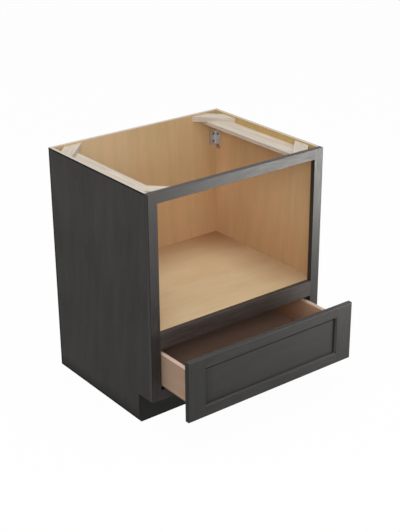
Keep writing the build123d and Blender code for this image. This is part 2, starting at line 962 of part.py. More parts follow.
stub_x = front_inner_x + panel_groove_depth - glue_gap
for rail_name, outer_z, inner_z in (
    ("front_top_rail", front_top_z, recess_top_z),
    ("front_bottom_rail", front_bottom_z, recess_bottom_z),
):
    low_z, high_z = sorted((outer_z, inner_z))
    inwards = 1 if inner_z > outer_z else -1
    groove_z = sorted((inner_z, inner_z - inwards * panel_groove_depth))
    with BuildPart() as front_rail:
        block(
            (-front_inner_x, front_face_y, low_z),
            (front_inner_x, front_back_y, high_z),
        )
        rail_edges = front_rail.edges().filter_by(Axis.X).group_by(Axis.Y)[0]
        fillet(rail_edges.sort_by(Axis.Z)[0 if inwards > 0 else -1], front_edge_radius)
        ease_recess()
        block((-stub_x, panel_front_y, low_z), (stub_x, panel_back_y, high_z))
        block(
            (-stub_x, panel_front_y, groove_z[0]),
            (stub_x, panel_back_y, groove_z[1]),
            mode=Mode.SUBTRACT,
        )
    save(front_rail.part, rail_name)

panel_hold = panel_groove_depth - panel_float
with BuildPart() as front_panel:
    block(
        (-front_inner_x - panel_hold, panel_front_y, recess_bottom_z - panel_hold),
        (front_inner_x + panel_hold, panel_back_y, recess_top_z + panel_hold),
    )
save(front_panel.part, "front_panel")

front_screw_group = screws(
    front_screw_places + mirrored(front_screw_places), front_screw_length
)
save(front_screw_group, "front_fixing_screws")

with BuildPart() as front_bumpers:
    bumper_x = front_half_width - bumper_inset
    with Locations(
        *[
            place(x, front_back_y, z, (0, 1, 0))
            for x in (-bumper_x, bumper_x)
            for z in (front_bottom_z + bumper_inset, front_top_z - bumper_inset)
        ]
    ):
        Cylinder(
            bumper_radius,
            bumper_height,
            align=(Align.CENTER, Align.CENTER, Align.MIN),
        )
save(front_bumpers.part, "front_bumpers")

# ---------------------------------------------------------------- locking devices and levers
lever_pivot_x = across(lock_edge + lever_pivot_inset)
lever_pivot_y = inner_front_back_y + lever_pivot_back
lock_low_x = across(lock_edge)
lock_high_x = across(lock_edge + lock_width)
wall_low_x = across(lock_screw_middle - lock_wall_inset)

with BuildPart() as locking_device:
    block(
        (lock_low_x, inner_front_back_y, above(runner_top - lock_plate_thickness)),
        (lock_high_x, inner_front_back_y + lock_length, above(runner_top)),
    )
    fillet(
        locking_device.edges().filter_by(Axis.Z).group_by(Axis.Y)[-1],
        radius=lock_corner_radius,
    )
    block(
        (wall_low_x, inner_front_back_y, above(runner_top - lock_wall_height)),
        (
            lock_high_x,
            inner_front_back_y + lock_plate_thickness,
            above(runner_top - lock_plate_thickness),
        ),
    )
    # the pin that the lever turns on, with a head that keeps it there
    pin_length = lever_gap * 2 + lever_thickness
    with Locations((lever_pivot_x, lever_pivot_y, above(lever_bottom - lever_gap))):
        Cylinder(
            lever_pin_radius,
            pin_length,
            align=(Align.CENTER, Align.CENTER, Align.MIN),
        )
        Cylinder(
            lever_pin_head_radius,
            lever_pin_head_thickness,
            align=(Align.CENTER, Align.CENTER, Align.MAX),
        )
    drill_for(lock_screw_places, lock_plate_thickness)
save_pair(locking_device.part, "locking_device")

lock_screw_group = screws(
    lock_screw_places + mirrored(lock_screw_places), lock_screw_length
)
save(lock_screw_group, "locking_device_screws")

arm_low_x = lever_pivot_x - lever_arm_width / 2
arm_high_x = lever_pivot_x + lever_arm_width / 2
lever_front_y = inner_front_back_y + lever_front
tooth_tip_x = track_high_x + slide_sheet / 2 - latch_depth
with BuildPart() as release_lever:
    with BuildSketch(Plane.XY.offset(above(lever_bottom))):
        with Locations((lever_pivot_x, lever_pivot_y)):
            Circle(lever_hub_radius)
        with BuildLine():
            Polyline(
                (arm_low_x, lever_pivot_y),
                (arm_low_x, latch_middle_y + latch_length / 2),
                (tooth_tip_x, latch_middle_y + latch_length / 2),
                (tooth_tip_x, latch_middle_y),
                (arm_low_x, latch_middle_y - latch_length / 2),
                (arm_low_x, lever_front_y),
                (arm_high_x + lever_tab_reach, lever_front_y),
                (arm_high_x + lever_tab_reach, lever_front_y + lever_tab_width),
                (arm_high_x, lever_front_y + lever_tab_width),
                (arm_high_x, lever_pivot_y),
                close=True,
            )
        make_face()
        with Locations((lever_pivot_x, lever_pivot_y)):
            Circle(lever_pin_radius + lever_gap, mode=Mode.SUBTRACT)
    extrude(amount=lever_thickness)
save_pair(release_lever.part, "release_lever")
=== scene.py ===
"""Finishes, small fixings and a studio for a base microwave cabinet, laid out as an add-on."""

import math

import bmesh
import bpy
from mathutils import Matrix, Vector


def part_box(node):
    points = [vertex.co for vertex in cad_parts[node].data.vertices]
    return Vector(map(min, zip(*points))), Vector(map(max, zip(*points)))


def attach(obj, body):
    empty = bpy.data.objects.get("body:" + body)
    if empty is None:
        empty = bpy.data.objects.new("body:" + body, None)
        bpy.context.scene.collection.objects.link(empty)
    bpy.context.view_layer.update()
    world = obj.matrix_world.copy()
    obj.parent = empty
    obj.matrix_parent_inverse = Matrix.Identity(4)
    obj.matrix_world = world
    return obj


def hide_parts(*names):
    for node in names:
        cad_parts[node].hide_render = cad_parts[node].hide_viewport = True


bl_info = {
    "name": "Base Microwave Cabinet",
    "version": (1, 0, 0),
    "blender": (4, 5, 0),
    "location": "View3D > Sidebar > Cabinet",
    "description": "Finishes a framed base cabinet and sets it on a studio floor",
    "category": "Object",
}

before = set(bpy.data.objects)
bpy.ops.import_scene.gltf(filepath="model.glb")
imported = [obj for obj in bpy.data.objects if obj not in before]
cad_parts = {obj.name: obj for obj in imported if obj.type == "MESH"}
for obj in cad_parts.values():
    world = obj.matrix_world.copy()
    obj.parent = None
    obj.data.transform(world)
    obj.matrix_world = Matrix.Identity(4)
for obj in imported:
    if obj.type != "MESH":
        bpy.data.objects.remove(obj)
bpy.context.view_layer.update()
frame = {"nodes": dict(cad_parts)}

# ------------------------ places read from the frame
SIDE_LOW, SIDE_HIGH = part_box("left_side_panel")
OUTER_X = -SIDE_LOW.x
TOP_Z = SIDE_HIGH.z
BACK_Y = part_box("back_panel")[1].y
SHELF_LOW, SHELF_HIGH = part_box("microwave_shelf")
BOX_LOW, BOX_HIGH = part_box("drawer_inner_front")

# ------------------------ sizes of the finishes
SKIN = 0.0004  # how deep the finish on one face reaches into a piece
FAR = 9.0  # further out than any face of the cabinet, so that a box has no edge there
BELOW, ABOVE = (-FAR, -FAR, -FAR), (FAR, FAR, FAR)
ARRIS = 0.0009  # band of painted light on top of the drawer front and of its lower rail
ROUNDED = 0.003  # rounded outer edge of the drawer front
PANEL_SHADOW = 0.0075  # painted shadow line on the drawer front's panel, below the upper rail
BOX_RIM = 0.0035  # painted light along the top edge of the drawer box
RAIL_TIP = (0.06, 0.015)  # where painted shade on a slide rail's front end begins and is full, from that end

# ------------------------ tints
PLAIN = (1, 1, 1, 1)  # changes nothing
PAINTED_SHADE = (0.002, 0.002, 0.002, 1)  # near black, for shade painted along edges
LOW_EDGE_SHADE = (0.015, 0.012, 0.01, 1)  # painted shade along the lower outer edges of the drawer box's sides
ROSY = (1.03, 0.9, 0.9, 1)  # patches in maple
MAPLE_DARK = (0.80, 0.72, 0.62)  # the dark of its grain, against its colour
MAPLE_LIGHT = (1.12, 1.16, 1.22)  # and the light

# ------------------------ directions of the grain
ALONG = {"x": (1, 0, 0), "y": (0, 1, 0), "z": (0, 0, 1)}
RISING, FALLING = (1, 1, 0), (1, -1, 0)  # seen from above
DRAWN_OUT = 0.05  # how much the lines in drawn steel are stretched

# ------------------------ screws
PLAIN_HEAD = 0.0024  # height of the heads on the frame's plain screws
SHORTER = 0.0006  # how much shorter a detailed screw is, so that its point stays inside
SHANK_RADIUS, TIP_RADIUS, TIP_LENGTH = 0.0018, 0.0012, 0.003
ROUND_STEPS = 16
FIRST_TWIST, NEXT_TWIST = 17, 41  # in degrees, as no two recesses end up alike
MERGE = 1e-6  # points closer than this are one
SMOOTH_TO = math.radians(35)  # a sharper edge than this isn't smoothed


# ------------------------ making of objects
def take_mesh(name, shape):
    """The mesh of a bmesh, which is freed."""
    mesh = bpy.data.meshes.new(name)
    shape.to_mesh(mesh)
    shape.free()
    return mesh


def add_object(name, data):
    """A new object of the scene."""
    made = bpy.data.objects.new(name, data)
    bpy.context.scene.collection.objects.link(made)
    return made


# ------------------------ node helpers
def add_node(tree, kind, inputs=None, **settings):
    """A node with its settings, and its inputs set or linked."""
    made = tree.nodes.new(kind)
    for name, value in settings.items():
        setattr(made, name, value)
    for name, value in (inputs or {}).items():
        socket = made.inputs[name]
        if isinstance(value, bpy.types.NodeSocket):
            tree.links.new(value, socket)
        else:
            socket.default_value = value
    return made


def maths(tree, operation, *values, clamp=False):
    """The output of a Math node."""
    inputs = dict(enumerate(values))
    made = add_node(tree, "ShaderNodeMath", inputs, operation=operation, use_clamp=clamp)
    return made.outputs[0]


def weighted(tree, first, share, second, other_share):
    """The sum of two values, each times its share."""
    other = maths(tree, "MULTIPLY", second, other_share)
    return maths(tree, "MULTIPLY_ADD", first, share, other)


def vector_maths(tree, operation, first, second):
    """The output of a Vector Math node."""
    inputs = {0: first, 1: second}
    return add_node(tree, "ShaderNodeVectorMath", inputs, operation=operation).outputs[0]


def noise(tree, vector, scale, detail=2.0, distortion=0.0, roughness=0.5):
    """The value of a Noise Texture node."""
    inputs = {
        "Vector": vector,
        "Scale": scale,
        "Detail": detail,
        "Distortion": distortion,
        "Roughness": roughness,
    }
    return add_node(tree, "ShaderNodeTexNoise", inputs).outputs["Fac"]


def ramp(tree, value, begin, full, first=0.0, last=1.0, kind="LINEAR"):
    """A value that runs from first to last while another one runs from begin to full."""
    limits = {"From Min": begin, "From Max": full, "To Min": first, "To Max": last}
    inputs = {"Value": value, **limits}
    return add_node(tree, "ShaderNodeMapRange", inputs, interpolation_type=kind).outputs[0]


def blend_colours(tree, factor, first, second, mode="MIX"):
    """The colour of a Mix node."""
    inputs = {0: factor, 6: first, 7: second}
    made = add_node(tree, "ShaderNodeMix", inputs, data_type="RGBA", blend_type=mode)
    return made.outputs[2]


def axis_of(tree, place, axis):
    """One coordinate of a place."""
    return add_node(tree, "ShaderNodeSeparateXYZ", {0: place}).outputs[axis]


def from_middle(tree, place):
    """How far a place lies from the cabinet's middle plane."""
    return maths(tree, "ABSOLUTE", axis_of(tree, place, "X"))


def beyond(tree, value, limit):
    """1 where a value passes a limit, else 0."""
    return maths(tree, "GREATER_THAN", value, limit)


def within(tree, value, limit):
    """1 where a value stays under a limit, else 0."""
    return maths(tree, "LESS_THAN", value, limit)


def tinted(colour, *factors):
    """A colour with each of its parts times a factor, as four numbers."""
    return tuple(min(1.0, part * factor) for part, factor in zip(colour, factors)) + (1.0,)


def shade(colour, factor):
    """A darker or lighter version of a colour, as four numbers."""
    return tinted(colour, factor, factor, factor)


def grey(level):
    """A tint that darkens or lightens every part of a colour alike."""
    return (level, level, level, 1)


# ------------------------ shared effects
def new_group(name, **inputs):
    """An empty shader node group and what it takes in, given as labels with their defaults.

    A default is a number, a colour, or None for a vector.
    """
    group = bpy.data.node_groups.new(name, "ShaderNodeTree")
    kinds = {float: "NodeSocketFloat", tuple: "NodeSocketColor", type(None): "NodeSocketVector"}
    for label, default in inputs.items():
        kind = kinds[type(default)]
        socket = group.interface.new_socket(label, in_out="INPUT", socket_type=kind)
        if default is not None:
            socket.default_value = default
    return group, group.nodes.new("NodeGroupInput").outputs


def end_group(group, **outputs):
    """Put sockets out of a group, each under its label."""
    for label, source in outputs.items():
        kind = "NodeSocketColor" if source.type == "RGBA" else "NodeSocketFloat"
        group.interface.new_socket(label, in_out="OUTPUT", socket_type=kind)
    end = group.nodes.new("NodeGroupOutput")
    for label, source in outputs.items():
        group.links.new(source, end.inputs[label])
    return group


def use_group(tree, build, **inputs):
    """The outputs of a node of a shared group, which is built the first time."""
    name = build.__name__.replace("_", " ").title()
    group = bpy.data.node_groups.get(name) or build(name)
    return add_node(tree, "ShaderNodeGroup", inputs, node_tree=group).outputs


def timber_grain(name):
    """Wood grain that runs along Z of its vector: tone, pores, patches and a height for bump."""
    group, taken = new_group(name, Vector=None, Figure=0.5, Streaks=0.5, Clouds=0.2, Fineness=1.0)
    wide = taken["Vector"]
    close = add_node(
        group, "ShaderNodeVectorMath", {0: wide, "Scale": taken["Fineness"]}, operation="SCALE"
    ).outputs[0]

    def stretched(vector, along):
        """Coordinates squeezed along the grain, so that a pattern on them is drawn out."""
        return vector_maths(group, "MULTIPLY", vector, (1.0, 1.0, along))

    def streaky(vector, along, scale, detail, distortion=0.0):
        return noise(group, stretched(vector, along), scale, detail, distortion, roughness=0.55)

    broad = streaky(wide, along=0.09, scale=16.0, detail=2.0, distortion=0.4)
    fine = streaky(close, along=0.045, scale=260.0, detail=3.0)
    streaks = streaky(close, along=0.05, scale=75.0, detail=4.0)
    clouds = streaky(wide, along=0.45, scale=11.0, detail=3.0, distortion=0.3)
    specks = streaky(wide, along=0.02, scale=620.0, detail=1.0)
    bands = {
        "Vector": stretched(wide, 0.13),
        "Scale": 9.0,
        "Distortion": 7.0,
        "Detail": 2.0,
        "Detail Scale": 1.3,
    }
    wave = add_node(
        group, "ShaderNodeTexWave", bands, wave_type="BANDS", bands_direction="DIAGONAL"
    ).outputs["Fac"]

    # Each pattern less its mean, so that its strength doesn't change the colour as a whole
    figure = maths(group, "SUBTRACT", weighted(group, wave, 0.45, broad, 0.75), 0.6)
    lines = maths(group, "SUBTRACT", weighted(group, fine, 0.6, streaks, 0.7), 0.65)
    soft = maths(group, "SUBTRACT", clouds, 0.5)
    tone = weighted(group, figure, taken["Figure"], lines, taken["Streaks"])
    tone = maths(group, "ADD", tone, 0.5)
    tone = maths(group, "MULTIPLY_ADD", soft, taken["Clouds"], tone, clamp=True)
    pores = ramp(group, specks, 0.63, 0.72)
    patches = ramp(group, clouds, 0.38, 0.62)
    height = maths(group, "SUBTRACT", fine, maths(group, "MULTIPLY", pores, 0.5))
    return end_group(group, Tone=tone, Pores=pores, Patches=patches, Height=height)


def edge_shade(name):
    """How near a place is to the edges of a box: 1 where two sides meet, 0 at the reach."""
    group, taken = new_group(name, Vector=None, Low=None, High=None, Reach=0.003)
    place = taken["Vector"]
    above_low = vector_maths(group, "SUBTRACT", place, taken["Low"])
    below_high = vector_maths(group, "SUBTRACT", taken["High"], place)
    near = vector_maths(group, "MINIMUM", above_low, below_high)
    x, y, z = add_node(group, "ShaderNodeSeparateXYZ", {0: near}).outputs
    lesser = maths(group, "MINIMUM", x, y)
    greater = maths(group, "MAXIMUM", x, y)
    second = maths(group, "MAXIMUM", lesser, maths(group, "MINIMUM", greater, z))
    mask = ramp(group, second, 0.0, taken["Reach"], 1.0, 0.0, kind="SMOOTHSTEP")
    return end_group(group, Mask=mask)


def painted_band(name):
    """1 between two limits, in a band of painted light or shade, else 0."""
    group, taken = new_group(name, Value=0.0, Begin=0.0, Finish=1.0)
    begun = beyond(group, taken["Value"], taken["Begin"])
    unfinished = within(group, taken["Value"], taken["Finish"])
    return end_group(group, Mask=maths(group, "MULTIPLY", begun, unfinished))


def tint_fade(name):
    """A colour multiplied by a tint that changes while a value runs from begin to full."""
    group, taken = new_group(
        name, Base=PLAIN, Value=0.0, Begin=0.0, Full=1.0, Before=PLAIN, After=PLAIN
    )
    share = ramp(group, taken["Value"], taken["Begin"], taken["Full"], kind="SMOOTHSTEP")
    tint = blend_colours(group, share, taken["Before"], taken["After"])
    return end_group(group, Colour=blend_colours(group, 1.0, taken["Base"], tint, "MULTIPLY"))


def plywood_edge(name):
    """The striped edge of plywood, counted through its thickness."""
    group, taken = new_group(name, Depth=0.0, Vector=None, Ply=0.0018)
    wobble = noise(group, taken["Vector"], scale=35.0)
    flecks = noise(group, taken["Vector"], scale=420.0)
    layers = maths(group, "DIVIDE", taken["Depth"], taken["Ply"])
    layers = maths(group, "MULTIPLY_ADD", wobble, 0.25, layers)
    stripe = maths(group, "PINGPONG", layers, 1.0)
    return end_group(group, Tone=weighted(group, stripe, 0.6, flecks, 0.4))


def drawn_steel(name):
    """The fine lines of drawn steel, the clouds of its plating, and both together."""
    group, taken = new_group(name, Vector=None, Squeeze=None)
    drawn = vector_maths(group, "MULTIPLY", taken["Vector"], taken["Squeeze"])
    lines = noise(group, drawn, scale=900.0)
    clouds = noise(group, taken["Vector"], scale=140.0, detail=3.0)
    tone = weighted(group, lines, 0.4, clouds, 0.6)
    return end_group(group, Tone=tone, Lines=lines, Clouds=clouds)


def moulded_grit(name):
    """The spark-eroded grit of moulded plastic, and its faint clouds."""
    group, taken = new_group(name, Vector=None)
    grit = noise(group, taken["Vector"], scale=1800.0)
    clouds = noise(group, taken["Vector"], scale=60.0)
    return end_group(group, Grit=grit, Clouds=clouds)


# ------------------------ parts of a material
def start_material(name, roughness=0.5, metallic=0.0, specular=0.5):
    """A material with a Principled shader, and its Object coordinates."""
    material = bpy.data.materials.new(name)
    material.use_nodes = True
    tree = material.node_tree
    shader = tree.nodes["Principled BSDF"]
    constants = {"Roughness": roughness, "Metallic": metallic, "Specular IOR Level": specular}
    for label, value in constants.items():
        shader.inputs[label].default_value = value
    place = add_node(tree, "ShaderNodeTexCoord").outputs["Object"]
    return material, tree, shader, place


def end_material(tree, shader, colour, height, relief, rough=None, distance=0.0002):
    """Link a colour, a relief and, where it changes over the surface, a roughness."""
    tree.links.new(colour, shader.inputs["Base Color"])
    if rough is not None:
        tree.links.new(rough, shader.inputs["Roughness"])
    inputs = {"Strength": relief, "Distance": distance, "Height": height}
    bump = add_node(tree, "ShaderNodeBump", inputs)
    tree.links.new(bump.outputs[0], shader.inputs["Normal"])


def grain_colour(
    tree,
    place,
    direction,
    dark,
    light,
    figure,
    streaks,
    pore_shade=0.75,
    clouds=0.2,
    fineness=1.0,
    blush=0.0,
):
    """Colour and height of wood whose grain runs along direction, with rosy patches."""
    turn = Vector(direction).rotation_difference(Vector((0, 0, 1))).to_euler()
    turned = add_node(tree, "ShaderNodeMapping", {"Vector": place, "Rotation": tuple(turn)})
    grain = use_group(
        tree,
        timber_grain,
        Vector=turned.outputs[0],
        Figure=figure,
        Streaks=streaks,
        Clouds=clouds,
        Fineness=fineness,
    )
    base = blend_colours(tree, grain["Tone"], dark, light)
    if blush:
        rosy = maths(tree, "MULTIPLY", grain["Patches"], blush)
        base = blend_colours(tree, rosy, base, ROSY, "MULTIPLY")
    strength = maths(tree, "MULTIPLY", grain["Pores"], 0.35)
    return blend_colours(tree, strength, base, shade(dark, pore_shade)), grain["Height"]


def maple_wall(tree, place, colour):
    """Colour and height of the upright maple on the inner walls."""
    return grain_colour(
        tree,
        place,
        ALONG["z"],
        tinted(colour, *MAPLE_DARK),
        tinted(colour, *MAPLE_LIGHT),
        figure=0.2,
        streaks=0.35,
        clouds=0.45,
        blush=0.6,
    )


def bare_ply(tree, place, depth, colour):
    """Colour of a bare plywood edge; depth is counted through the panel."""
    tone = use_group(tree, plywood_edge, Depth=depth, Vector=place)["Tone"]
    return blend_colours(tree, tone, shade(colour, 0.8), shade(colour, 1.12))


def near_edges(tree, place, low, high, reach, strength):
    """A mask that rises to strength near the edges of a box."""
    edges = use_group(tree, edge_shade, Vector=place, Low=low, High=high, Reach=reach)
    return maths(tree, "MULTIPLY", edges["Mask"], strength)


def shade_edges(tree, place, base, low, high, reach, strength, tint=PAINTED_SHADE):
    """A colour that turns to a tint near the edges of a box, as painted shade."""
    mask = near_edges(tree, place, low, high, reach, strength)
    return blend_colours(tree, mask, base, tint)


def fade(tree, place, base, changes):
    """A colour multiplied by tints that change along an axis.

    Each of changes is an axis, where the change begins and is full, and the tint before it
    and after it.
    """
    for axis, begin, full, before, after in changes:
        base = use_group(
            tree,
            tint_fade,
            Base=base,
            Value=axis_of(tree, place, axis),
            Begin=begin,
            Full=full,
            Before=before,
            After=after,
        )["Colour"]
    return base


# ------------------------ materials
def charcoal(
    name, colour, direction, roughness, specular=0.125, streaks=1.9, shades=(), painted_bands=(), fades=()
):
    """Dark satin finish over maple, with its grain showing faintly.

    Each of shades is a box, a reach and a strength for shade_edges, as painted shade. Each of
    painted_bands is an axis, where a thin band of painted light or shade across it starts
    and ends, and how many times paler it is. Fades are the changes for fade, as painted light or
    shade.
    """
    material, tree, shader, place = start_material(name, roughness, specular=specular)
    base, height = grain_colour(
        tree,
        place,
        ALONG[direction],
        shade(colour, 0.69),
        shade(colour, 1.45),
        figure=0.25,
        streaks=streaks,
        clouds=0.5,
        fineness=1.7,
    )
    rough = ramp(tree, height, 0.3, 0.7, roughness - 0.05, roughness + 0.07)
    for low, high, reach, strength in shades:
        base = shade_edges(tree, place, base, low, high, reach, strength)
        dull = near_edges(tree, place, low, high, reach, 0.5 * strength)
        rough = maths(tree, "ADD", rough, dull, clamp=True)
    for axis, begin, finish, gain in painted_bands:
        value = axis_of(tree, place, axis)
        band = use_group(tree, painted_band, Value=value, Begin=begin, Finish=finish)
        base = blend_colours(tree, band["Mask"], base, shade(colour, gain))
    base = fade(tree, place, base, fades)
    end_material(tree, shader, base, height, relief=0.3, rough=rough)
    return material


def clear_maple(
    name,
    colour,
    direction,
    roughness=0.45,
    figure=0.4,
    streaks=0.5,
    clouds=0.2,
    rim=None,
    corners=(),
    lining=None,
    fades=(),
):
    """Maple under a clear satin coat.

    Rim is an axis, where a paler edge of painted light starts on it, and its colour. Each of
    corners is a box, a reach, a strength and a tint of painted shade for shade_edges. Fades
    are the changes for fade. Lining is how far from the middle plane the inner faces lie, and
    a change of painted light and shade for them alone.
    """
    material, tree, shader, place = start_material(name, roughness, specular=0.25)
    base, height = grain_colour(
        tree,
        place,
        ALONG[direction],
        tinted(colour, *MAPLE_DARK),
        tinted(colour, *MAPLE_LIGHT),
        figure,
        streaks,
        clouds=clouds,
    )
    if rim:
        axis, begin, paler = rim
        base = blend_colours(tree, beyond(tree, axis_of(tree, place, axis), begin), base, paler)
    for low, high, reach, strength, tint in corners:
        base = shade_edges(tree, place, base, low, high, reach, strength, tint)
    base = fade(tree, place, base, fades)
    if lining:
        limit, change = lining
        faces = within(tree, from_middle(tree, place), limit)
        base = blend_colours(tree, faces, base, fade(tree, place, base, (change,)))
    end_material(tree, shader, base, height, relief=0.1)
    return material


def raw_timber(name, colour, direction):
    """Pale sanded wood with no coat."""
    material, tree, shader, place = start_material(name, roughness=0.75, specular=0.3)
    base, height = grain_colour(
        tree,
        place,
        direction,
        shade(colour, 0.74),
        shade(colour, 1.14),
        figure=0.4,
        streaks=2.2,
        pore_shade=0.8,
        fineness=1.3,
    )
    end_material(tree, shader, base, height, relief=0.25)
    return material


def metal(name, colour, roughness, direction="x", speckle=0.12, fades=()):
    """Plated or galvanised steel, drawn along a direction, with a cloudy sheen."""
    material, tree, shader, place = start_material(name, roughness, metallic=1.0)
    squeeze = tuple(DRAWN_OUT if part else 1.0 for part in ALONG[direction])
    steel = use_group(tree, drawn_steel, Vector=place, Squeeze=squeeze)
    dull, bright = shade(colour, 1 - speckle), shade(colour, 1 + speckle)
    base = fade(tree, place, blend_colours(tree, steel["Tone"], dull, bright), fades)
    rough = ramp(tree, steel["Clouds"], 0.0, 1.0, roughness - 0.07, roughness + 0.1)
    end_material(tree, shader, base, steel["Lines"], 0.12, rough, distance=0.00005)
    return material


def moulded(name, colour, roughness=0.5):
    """Moulded plastic with a fine spark-eroded texture."""
    material, tree, shader, place = start_material(name, roughness)
    plastic = use_group(tree, moulded_grit, Vector=place)
    base = blend_colours(tree, plastic["Clouds"], shade(colour, 0.93), shade(colour, 1.06))
    end_material(tree, shader, base, plastic["Grit"], relief=0.15, distance=0.00008)
    return material


def dress(material, *nodes):
    """Give nodes of the frame their material."""
    for node in nodes:
        mesh = frame["nodes"][node].data
        mesh.materials.clear()
        mesh.materials.append(material)


# ------------------------ properties
def colour_property(name, description, default):
    """A colour that a user may change."""
    return bpy.props.FloatVectorProperty(
        name=name,
        description=description,
        subtype="COLOR",
        size=3,
        min=0.0,
        max=1.0,
        default=default,
    )


def small_length(name, description, default):
    """A length of a few millimetres that a user may change."""
    return bpy.props.FloatProperty(
        name=name, description=description, default=default, unit="LENGTH", precision=4
    )


def lamp_power(name, description, default):
    """The power of a lamp, in watts."""
    return bpy.props.FloatProperty(
        name=name, description=description, default=default, min=0.0, unit="POWER"
    )


class CharcoalFinish(bpy.types.PropertyGroup):
    """The dark finish on the outside."""

    side: colour_property("Side", "Finish on the side panels", (0.051, 0.049, 0.0465))
    frame: colour_property("Frame", "Finish on the face frame", (0.035, 0.0305, 0.0285))
    front: colour_property("Front", "Finish on the drawer front", (0.032, 0.031, 0.030))
    toe: colour_property("Toe board", "Finish on the toe board", (0.008, 0.008, 0.007))
    roughness: bpy.props.FloatProperty(
        name="Roughness",
        description="Roughness of the satin coat",
        default=0.42,
        min=0.0,
        max=1.0,
        subtype="FACTOR",
    )


class MapleFinish(bpy.types.PropertyGroup):
    """The pale wood inside."""

    wall: colour_property("Walls", "Maple on the inner walls", (0.635, 0.425, 0.226))
    shelf: colour_property("Shelf", "Maple on the shelf", (0.70, 0.54, 0.335))
    box: colour_property("Box", "Maple of the drawer box", (0.49, 0.335, 0.24))
    raw: colour_property("Raw wood", "Cleats and corner blocks", (0.66, 0.58, 0.49))


class HardwareLook(bpy.types.PropertyGroup):
    """Steel and plastic parts."""

    zinc: colour_property("Zinc", "Zinc-plated brackets", (0.62, 0.61, 0.62))
    slide: colour_property("Slides", "Galvanised slides", (0.45, 0.45, 0.47))
    screw: colour_property("Dark screws", "Screws of the brackets", (0.12, 0.115, 0.115))
    lever: colour_property("Levers", "Release levers", (0.62, 0.16, 0.02))
    head_radius: small_length("Head radius", "Radius of the screws' heads", 0.0039)
    head_height: small_length("Head height", "Height of the screws' heads", 0.0023)
    drive_width: small_length("Drive width", "Width of the square recess in the heads", 0.0027)


class StudioSettings(bpy.types.PropertyGroup):
    """Floor, lamps and camera."""

    floor_size: bpy.props.FloatProperty(
        name="Floor size", description="Width of the floor", default=60.0, unit="LENGTH"
    )
    lens: bpy.props.FloatProperty(
        name="Lens",
        description="Focal length, in millimetres on a 36 mm sensor",
        default=79.67,
        unit="CAMERA",
    )
    camera_place: bpy.props.FloatVectorProperty(
        name="Camera place",
        description="Where the camera stands",
        default=(-2.3788, -3.4949, 2.2151),
        subtype="TRANSLATION",
        unit="LENGTH",
    )
    camera_turn: bpy.props.FloatVectorProperty(
        name="Camera turn",
        description="Azimuth, height and roll of the camera's view",
        default=(math.radians(-37.41), math.radians(24.357), math.radians(-0.414)),
        subtype="EULER",
        unit="ROTATION",
    )
    key_power: lamp_power("Key lamp", "Power of the key lamp", 75.0)
    top_power: lamp_power("Top lamp", "Power of the lamp above", 62.0)
    sheen_power: lamp_power(
        "Sheen lamp", "Power of the low lamp that gives the finish its sheen", 108.0
    )
    sky: bpy.props.FloatProperty(
        name="Sky", description="Strength of the even light all round", default=0.45, min=0.0
    )


# ------------------------ finishes
class FinishSidePanels(bpy.types.Operator):
    """Charcoal outside, maple inside, bare plywood on the edges"""

    bl_idname = "cabinet.finish_side_panels"
    bl_label = "Finish side panels"

    def execute(self, context):
        dark = context.scene.charcoal_finish
        pale = context.scene.maple_finish
        matt = dark.roughness + 0.2
        material, tree, shader, place = start_material("charcoal_side_panel", matt, specular=0.08)
        outside, height = grain_colour(
            tree,
            place,
            ALONG["z"],
            shade(dark.side, 0.7),
            shade(dark.side, 1.4),
            figure=0.2,
            streaks=0.5,
            clouds=0.9,
        )
        # Painted light on the outer face, paler towards the top
        outside = fade(tree, place, outside, (("Z", 0.48, 0.74, grey(0.97), grey(1.15)),))
        # Painted shade as a dark line along the outer edges and, wider, towards the foot
        rims = SIDE_LOW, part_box("right_side_panel")[1], 0.01
        outside = shade_edges(tree, place, outside, *rims, 0.95)
        foot = (SIDE_LOW.x, -FAR, SIDE_LOW.z), (OUTER_X, FAR, FAR), 0.06
        outside = shade_edges(tree, place, outside, *foot, 0.55)

        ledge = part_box("left_top_cleat")[1].z
        inside, _ = maple_wall(tree, place, pale.wall)
        changes = (
            # Painted light towards the open top, and painted shade close above the shelf
            ("Z", 0.46, 0.66, (1, 1.02, 1.03, 1), (1.09, 1.15, 1.23, 1)),
            ("Z", SHELF_HIGH.z, SHELF_HIGH.z + 0.2, (0.93, 0.9, 0.9, 1), PLAIN),
            # Painted shade, yellower, above the cleat
            ("Z", ledge - 0.005, ledge + 0.005, PLAIN, (0.84, 0.88, 0.66, 1)),
            # Painted light in the rear corner and close behind the frame
            ("Y", -0.19, -0.03, PLAIN, (1.12, 1.16, 1.19, 1)),
            ("Y", -0.53, -0.585, PLAIN, (1.13, 1.12, 1.04, 1)),
        )
        inside = fade(tree, place, inside, changes)

        across = from_middle(tree, place)
        bare = bare_ply(tree, place, across, pale.raw)
        on_top = beyond(tree, axis_of(tree, place, "Z"), TOP_Z - SKIN)
        on_back = beyond(tree, axis_of(tree, place, "Y"), BACK_Y - SKIN)
        on_edge = maths(tree, "MAXIMUM", on_top, on_back)
        rim = maths(tree, "MULTIPLY", on_edge, within(tree, across, OUTER_X - SKIN))
        base = blend_colours(tree, beyond(tree, across, OUTER_X - SKIN), inside, outside)
        base = blend_colours(tree, rim, base, bare)
        dull = near_edges(tree, place, *rims, 1 - matt)
        rough = maths(tree, "MULTIPLY_ADD", rim, 0.1, matt)
        rough = maths(tree, "ADD", rough, dull, clamp=True)
        end_material(tree, shader, base, height, relief=0.16, rough=rough)
        dress(material, "left_side_panel", "right_side_panel")
        return {"FINISHED"}


